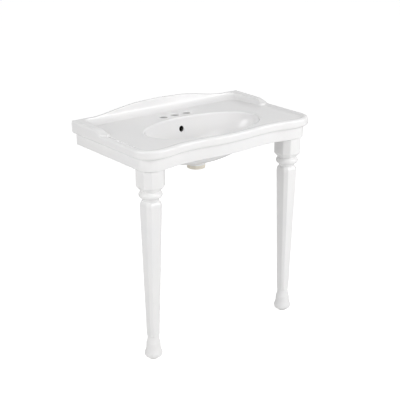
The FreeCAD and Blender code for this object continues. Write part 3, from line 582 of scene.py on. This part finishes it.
def china(name, bare, painted_shade=None):
    """White glazed vitreous china; bare gives where the glaze was wiped off, and the last argument gives
    where shade is painted dark into the overflow passage and the faucet holes."""
    made, tree, coords = blank(name)
    xyz = add(tree, "ShaderNodeSeparateXYZ", {"Vector": coords})
    unglazed = bare(tree, xyz)
    # The glaze varies in thickness over some 110 mm, so its white drifts a little to grey.
    drift = add(tree, "ShaderNodeTexNoise", {"Vector": coords, "Scale": 1000 / DRIFT, "Detail": 2.0})
    glaze = add(tree, "ShaderNodeMix", {"Factor": drift.outputs["Fac"], 6: colour("#f6f5f4"),
                                        7: colour("#f1f1f2")}, data_type="RGBA").outputs[2]
    # The bare fired body is cream, with a fine sandy grain.
    grain = add(tree, "ShaderNodeTexNoise", {"Vector": coords, "Scale": 1000 / GRAIN, "Detail": 3.0})
    body = add(tree, "ShaderNodeMix", {"Factor": grain.outputs["Fac"], 6: colour("#f2ecdf"),
                                       7: colour("#e5decf")}, data_type="RGBA").outputs[2]
    tint = add(tree, "ShaderNodeMix", {"Factor": unglazed, 6: glaze, 7: body}, data_type="RGBA").outputs[2]
    # Painted shade: the walls of the overflow passage and the faucet holes are mixed toward near black.
    if painted_shade:
        tint = add(tree, "ShaderNodeMix", {"Factor": painted_shade(tree, coords, xyz), 6: tint,
                                           7: colour("#2b2926")}, data_type="RGBA").outputs[2]
    # Slow waves about 0.2 mm high, and an orange peel of about 0.01 mm.
    waves = add(tree, "ShaderNodeTexNoise", {"Vector": coords, "Scale": 1000 / WAVES, "Detail": 1.0})
    peel = add(tree, "ShaderNodeTexNoise", {"Vector": coords, "Scale": 1000 / PEEL, "Detail": 1.0})
    low = add(tree, "ShaderNodeBump", {"Height": waves.outputs["Fac"], "Distance": 0.0004, "Strength": 0.6})
    fine = add(tree, "ShaderNodeBump", {"Height": peel.outputs["Fac"], "Distance": 0.00002, "Strength": 0.6,
                                        "Normal": low.outputs["Normal"]})
    rough = add(tree, "ShaderNodeMix", {"Factor": unglazed, "A": 0.1, "B": 0.75}).outputs["Result"]
    shader = add(tree, "ShaderNodeBsdfPrincipled",
                 {"Base Color": tint, "Roughness": rough, "IOR": 1.5, "Normal": fine.outputs["Normal"]})
    add(tree, "ShaderNodeOutputMaterial", {"Surface": shader.outputs["BSDF"]})
    return made


top = piece("console_top_china", skin(top_rings(), closed=True))
overflow = duct(gaps=(-5, 15), half=25, top=-27, roof=-132, low=-160, end=-195)
pads = [leg_pad(side) for side in (-1, 1)]
ribs = [block((side * RIB_X - RIB[0] / 2, -RIB_Y, DECK_Z - RIB_DROP), RIB) for side in (-1, 1)]
combine(top, [skin(splash_rings(), closed=False), overflow] + pads + ribs, "UNION")
combine(top, holes(), "DIFFERENCE")
finish_surface(top, angle=38)
top.data.materials.clear()
# The dark in the overflow passage and the faucet holes is painted shade.
top.data.materials.append(china("glazed_china_top", boss_is_bare, holes_painted_shade))
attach(top, "root")
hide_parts("console_top")

# ---- Legs ----------------------------------------------------------------------
# Two slip-cast china legs, hollow, with walls of about 9 mm: a chamfered block, a
# turned bead and neck, a tapered chamfered shaft and a turned vase foot. Only the
# ring that stands in the kiln, under the foot, is bare.
LEG_TOP = 684.0             # head of the leg above the floor
BLOCK, BLOCK_CHAMFER, BLOCK_HIGH = 84.0, 19.0, 59.0
WAIST, SHOULDER_STEPS = 62.5, 6         # octagon that the block's foot narrows to
OCTAGON = 0.2929            # chamfer of a regular octagon, as a share of its width
BEAD_R, BEAD_Z = 39.3, 596.0            # the turned bead: radius, and middle above the floor
SHAFT, SHAFT_CHAMFER, SHAFT_Z = 62.0, 12.0, 555.0       # the shaft where it is widest
ROUND, ROUND_HIGH = 16.0, 18.6          # its rounded top: how much narrower, and its height
ANKLE, ANKLE_Z = 37.5, 83.0             # the shaft's lower end
FOOT_Z = 2.5                # underside of the china foot above the floor
BUNG_R, STUD_BORE = 13.0, 5.5           # bores for the rubber bung and the stud
HOLLOW_R, HOLLOW_Z = 33.0, 672.0        # the hollow in the block, and its ceiling
FACE = 60.0                 # width of a ring on the flat head, between bore and edge
ARRIS, ARRIS_MIDDLE = 1.6, 0.26         # softening of an arris, and the place of its middle
FLAT_STEPS = 5              # points along each flat between two softened arrises


def faceted(side, chamfer, z, soft=ARRIS):
    """A chamfered square whose arrises are softened, as points round the leg."""
    h, c = side / 2, chamfer
    corners = [(h, -h + c), (h, h - c), (h - c, h), (-h + c, h),
               (-h, h - c), (-h, -h + c), (-h + c, -h), (h - c, -h)]
    points = []
    for index, corner in enumerate(corners):
        here = Vector(corner)
        before, after = Vector(corners[index - 1]), Vector(corners[(index + 1) % 8])
        back, on = (before - here).normalized(), (after - here).normalized()
        start, end = here + on * soft, after - on * soft
        points += [here + back * soft, here + (back + on) * soft * ARRIS_MIDDLE, start]
        points += [start.lerp(end, step / (FLAT_STEPS + 1)) for step in range(1, FLAT_STEPS + 1)]
    return [(p.x, p.y, z) for p in points]


def turned(radius, z):
    """A circle with its points where the arrises and flats of the block have theirs."""
    points = []
    for x, y, _ in faceted(2 * radius, 2 * radius * OCTAGON, z, 0.04 * radius):
        reach = math.hypot(x, y)
        points.append((x / reach * radius, y / reach * radius, z))
    return points


def block_rings():
    """The block from the leg's head down, and the slope under it that ends in an octagon."""
    base = LEG_TOP - BLOCK_HIGH
    rings = [faceted(side, BLOCK_CHAMFER * side / BLOCK, z) for side, z in
             ((BLOCK - 2.5, LEG_TOP), (BLOCK - 0.8, LEG_TOP - 0.5), (BLOCK, LEG_TOP - 1.8),
              (BLOCK, LEG_TOP - 15), (BLOCK, LEG_TOP - 30), (BLOCK, LEG_TOP - 45),
              (BLOCK, base + 1.6), (BLOCK - 0.4, base + 0.3))]
    wide = BLOCK - 0.8
    for step in range(1, SHOULDER_STEPS + 1):
        share = step / SHOULDER_STEPS
        chamfer = BLOCK_CHAMFER + (WAIST * OCTAGON - BLOCK_CHAMFER) * share
        rings.append(faceted(wide + (WAIST - wide) * share, chamfer, base - 0.6 - 14.2 * share))
    return rings + [turned(30.6, base - 15.6), turned(30.5, base - 17.2)]


def shaft_rings():
    """The bead and neck, and the tapered shaft with its rounded top."""
    bead = arc((31, BEAD_Z + 10.5), (BEAD_R, BEAD_Z), (31, BEAD_Z - 10.5), 16)
    neck = arc((30.6, 584.6), (27.5, 579.7), (26, 575.4), 5) + [(25.9, 574.4)]
    rings = [turned(radius, z) for radius, z in bead + neck]
    for turn in [math.radians(angle) for angle in (76, 66, 56, 46, 36, 26, 17, 8, 0)]:
        side = SHAFT - ROUND + ROUND * math.cos(turn)
        rings.append(faceted(side, SHAFT_CHAMFER * side / SHAFT, SHAFT_Z + ROUND_HIGH * math.sin(turn),
                             ARRIS - 1 + math.cos(turn)))
    for share in (0.01, 0.05, 0.12, 0.2, 0.3, 0.4, 0.5, 0.6, 0.7, 0.8, 0.9, 0.97, 0.995):
        side = SHAFT + (ANKLE - SHAFT) * share
        rings.append(faceted(side, SHAFT_CHAMFER * side / SHAFT, SHAFT_Z + (ANKLE_Z - SHAFT_Z) * share))
    return rings


def foot_and_hollow_rings():
    """The turned foot, and from its open underside up through the hollow to the head."""
    foot = [(19.9, 82.2), (19.8, 79.5)] + arc((19.8, 76), (21.4, 66), (24.4, 56), 9)
    foot += [(24.7, 51), (24.9, 45), (25, 39), (25.8, 34), (27.2, 29)]
    foot += arc((29, 24.3), (29.4, 11), (19, FOOT_Z), 14)
    inside = [(BUNG_R + 1, FOOT_Z), (BUNG_R, FOOT_Z + 0.7), (BUNG_R, 15), (BUNG_R, 30.5),
              (10.8, 56), (10.8, 92), (22, 536), (17, 564.5), (17, 583), (HOLLOW_R, 625),
              (HOLLOW_R, HOLLOW_Z - 0.2), (HOLLOW_R - 2, HOLLOW_Z), (STUD_BORE + 0.7, HOLLOW_Z),
              (STUD_BORE, HOLLOW_Z + 0.6), (STUD_BORE, LEG_TOP - 0.6), (STUD_BORE + 0.7, LEG_TOP)]
    head = faceted(FACE, FACE * BLOCK_CHAMFER / BLOCK, LEG_TOP)
    return [turned(radius, z) for radius, z in foot + inside] + [head]


def foot_is_bare(tree, xyz):
    """Bare china on the ring under the foot."""
    return add(tree, "ShaderNodeMapRange", {"Value": xyz.outputs["Z"], "From Min": (FOOT_Z + 1.7) / 1000,
                                            "From Max": (FOOT_Z + 0.9) / 1000},
               interpolation_type="SMOOTHSTEP").outputs["Result"]


leg_china = china("glazed_china_leg", foot_is_bare)
leg_rings = block_rings() + shaft_rings() + foot_and_hollow_rings()
for side, hand in ((-1, "left"), (1, "right")):
    rings = [[place(side * LEG_X + x, y - LEG_Y, z) for x, y, z in ring] for ring in leg_rings]
    leg = piece(hand + "_leg_china", skin(rings, closed=True))
    finish_surface(leg, angle=24)
    leg.data.materials.append(leg_china)
    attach(leg, "root")
    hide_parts(hand + "_leg")

# ---- Leg fixings ----------------------------------------------------------------
# Inside each leg head a threaded stud stands in cement. It passes through a
# rubber sheet and the web of the top, and a washer and wing nut hold it there. All
# of that is out of sight from the front; a rubber bung in the foot meets the floor.
BLOOM, PORES = 15.0, 0.5    # widths of the rubber's bloom clouds and of the mould's texture
DULL, THREAD = 4.0, 1.5     # dull patches in the zinc, and the pitch of the thread
DAMP, SAND, PITS = 12.5, 1.0, 3.0       # patches, sand and pits of the mortar


def rubber():
    """Black moulded rubber: matt, with a bloom that greys it in patches."""
    made, tree, coords = blank("moulded_black_rubber")
    bloom = add(tree, "ShaderNodeTexNoise", {"Vector": coords, "Scale": 1000 / BLOOM, "Detail": 3.0})
    pores = add(tree, "ShaderNodeTexNoise", {"Vector": coords, "Scale": 1000 / PORES, "Detail": 2.0})
    tint = add(tree, "ShaderNodeMix", {"Factor": bloom.outputs["Fac"], 6: colour("#1d1d1e"),
                                       7: colour("#333231")}, data_type="RGBA").outputs[2]
    rough = add(tree, "ShaderNodeMix", {"Factor": bloom.outputs["Fac"], "A": 0.6, "B": 0.85})
    bump = add(tree, "ShaderNodeBump", {"Height": pores.outputs["Fac"], "Distance": 0.00005})
    shader = add(tree, "ShaderNodeBsdfPrincipled",
                 {"Base Color": tint, "Roughness": rough.outputs["Result"],
                  "Normal": bump.outputs["Normal"]})
    add(tree, "ShaderNodeOutputMaterial", {"Surface": shader.outputs["BSDF"]})
    return made


def zinc():
    """Bright zinc-plated steel: a sheen that is dull in patches, and ridges as of a thread."""
    made, tree, coords = blank("zinc_plated_steel")
    dull = add(tree, "ShaderNodeTexNoise", {"Vector": coords, "Scale": 1000 / DULL, "Detail": 3.0})
    # A wave texture repeats every pi / 10 at a scale of 1.
    thread = add(tree, "ShaderNodeTexWave", {"Vector": coords, "Scale": math.pi / 10 * 1000 / THREAD,
                                             "Distortion": 0.3}, bands_direction="Z")
    tint = add(tree, "ShaderNodeMix", {"Factor": dull.outputs["Fac"], 6: colour("#c9ccd0"),
                                       7: colour("#a9adb3")}, data_type="RGBA").outputs[2]
    rough = add(tree, "ShaderNodeMix", {"Factor": dull.outputs["Fac"], "A": 0.22, "B": 0.42})
    bump = add(tree, "ShaderNodeBump", {"Height": thread.outputs["Fac"], "Distance": 0.0003,
                                        "Strength": 0.5})
    shader = add(tree, "ShaderNodeBsdfPrincipled",
                 {"Base Color": tint, "Metallic": 1.0, "Roughness": rough.outputs["Result"],
                  "Normal": bump.outputs["Normal"]})
    add(tree, "ShaderNodeOutputMaterial", {"Surface": shader.outputs["BSDF"]})
    return made


def cement():
    """Grey cement mortar poured round the stud: sandy, with darker damp patches and pits."""
    made, tree, coords = blank("cast_cement_mortar")
    damp = add(tree, "ShaderNodeTexNoise", {"Vector": coords, "Scale": 1000 / DAMP, "Detail": 4.0})
    sand = add(tree, "ShaderNodeTexNoise", {"Vector": coords, "Scale": 1000 / SAND, "Detail": 3.0})
    pits = add(tree, "ShaderNodeTexVoronoi", {"Vector": coords, "Scale": 1000 / PITS})
    tint = add(tree, "ShaderNodeMix", {"Factor": damp.outputs["Fac"], 6: colour("#a5a19a"),
                                       7: colour("#86837d")}, data_type="RGBA").outputs[2]
    height = add(tree, "ShaderNodeMath", {0: sand.outputs["Fac"], 1: pits.outputs["Distance"]})
    bump = add(tree, "ShaderNodeBump", {"Height": height.outputs[0], "Distance": 0.0004})
    shader = add(tree, "ShaderNodeBsdfPrincipled",
                 {"Base Color": tint, "Roughness": 0.92, "Normal": bump.outputs["Normal"]})
    add(tree, "ShaderNodeOutputMaterial", {"Surface": shader.outputs["BSDF"]})
    return made


for makes, names in ((rubber, ("leg_gasket", "foot_bung")), (cement, ("stud_cement",)),
                     (zinc, ("leg_stud", "stud_washer", "wing_nut"))):
    finish = makes()
    for name in names:
        for hand in ("left_", "right_"):
            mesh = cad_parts[hand + name].data
            mesh.materials.clear()
            mesh.materials.append(finish)

# ---- Floor, light and camera ------------------------------------------------------
# A wide sheet of matt white paper, four soft boxes, the strongest of them at the
# right front, and a white surround for the camera and for reflections.
FLOOR_HALF = 9.0            # half the sheet's width, in metres
FIBRES = 1.1                # width of the paper's fibres in mm, coarse enough to show
PAPER_DIM, PAPER_GLOW = 0.6, 0.9        # what the camera sees: less shade, and a white glow
FILL = 0.25                 # strength of the surround on the object

floor_bm = bmesh.new()
bmesh.ops.create_grid(floor_bm, x_segments=1, y_segments=1, size=FLOOR_HALF)
floor = piece("studio_floor", floor_bm)
paper, tree, coords = blank("matt_white_paper")
fibres = add(tree, "ShaderNodeTexNoise", {"Vector": coords, "Scale": 1000 / FIBRES, "Detail": 2.0})
tone = add(tree, "ShaderNodeMix", {"Factor": fibres.outputs["Fac"], 6: colour("#ffffff"),
                                   7: colour("#fcfcfb")}, data_type="RGBA").outputs[2]
sheet = add(tree, "ShaderNodeBsdfDiffuse", {"Color": tone})
seen = add(tree, "ShaderNodeLightPath").outputs["Is Camera Ray"]
faint = add(tree, "ShaderNodeMath", {0: seen, 1: PAPER_DIM}, operation="MULTIPLY").outputs[0]
dim = add(tree, "ShaderNodeMixShader", {"Fac": faint, 1: sheet.outputs[0]})
lit = add(tree, "ShaderNodeMath", {0: seen, 1: PAPER_GLOW}, operation="MULTIPLY").outputs[0]
glow = add(tree, "ShaderNodeEmission", {"Color": colour("#ffffff"), "Strength": lit})
both = add(tree, "ShaderNodeAddShader", {0: dim.outputs[0], 1: glow.outputs[0]})
add(tree, "ShaderNodeOutputMaterial", {"Surface": both.outputs[0]})
floor.data.materials.append(paper)

world = bpy.data.worlds.new("studio")
bpy.context.scene.world = world
world.use_nodes = True
tree = world.node_tree
tree.nodes.clear()
rays = add(tree, "ShaderNodeLightPath").outputs
seen = rays["Is Camera Ray"]
for ray in ("Is Glossy Ray", "Is Transmission Ray"):
    seen = add(tree, "ShaderNodeMath", {0: seen, 1: rays[ray]}, operation="MAXIMUM").outputs[0]
fill = add(tree, "ShaderNodeBackground", {"Color": colour("#ffffff"), "Strength": FILL})
white = add(tree, "ShaderNodeBackground", {"Color": colour("#ffffff"), "Strength": 1.0})
both = add(tree, "ShaderNodeMixShader", {"Fac": seen, 1: fill.outputs[0], 2: white.outputs[0]})
add(tree, "ShaderNodeOutputWorld", {"Surface": both.outputs[0]})

LAMP_AIM = Vector((0, 0, 0.6))          # a point under the bowl, in metres


def lamp(name, spot, size, power):
    """A square soft box that looks at LAMP_AIM: its place and size in metres, and watts."""
    data = bpy.data.lights.new(name, "AREA")
    data.size = size
    data.energy = power
    made = bpy.data.objects.new(name, data)
    made.location = spot
    made.rotation_euler = (LAMP_AIM - Vector(spot)).to_track_quat("-Z", "Y").to_euler()
    bpy.context.scene.collection.objects.link(made)


lamp("left_box", (-2.4, -0.3, 1.6), 1.4, 26)
lamp("right_front_box", (2.2, -2.8, 1.9), 1.8, 52)
lamp("front_box", (0.2, -3.2, 2.4), 2.2, 30)
lamp("top_box", (0.2, -0.4, 3.4), 1.6, 9)

EYE = (-1.9200, -2.4728, 1.6032)        # the camera in metres, fitted to the photograph's edges
LOOK = Vector((0.5799, 0.7396, -0.3417))            # its direction
LENS, SENSOR = 83.44, 36.0              # its focal length and sensor width in mm

camera = bpy.data.objects.new("camera", bpy.data.cameras.new("camera"))
camera.data.sensor_width = SENSOR
camera.data.lens = LENS
camera.location = EYE
camera.rotation_euler = LOOK.to_track_quat("-Z", "Y").to_euler()
bpy.context.scene.collection.objects.link(camera)
bpy.context.scene.camera = camera
bpy.context.scene.view_settings.view_transform = "Standard"
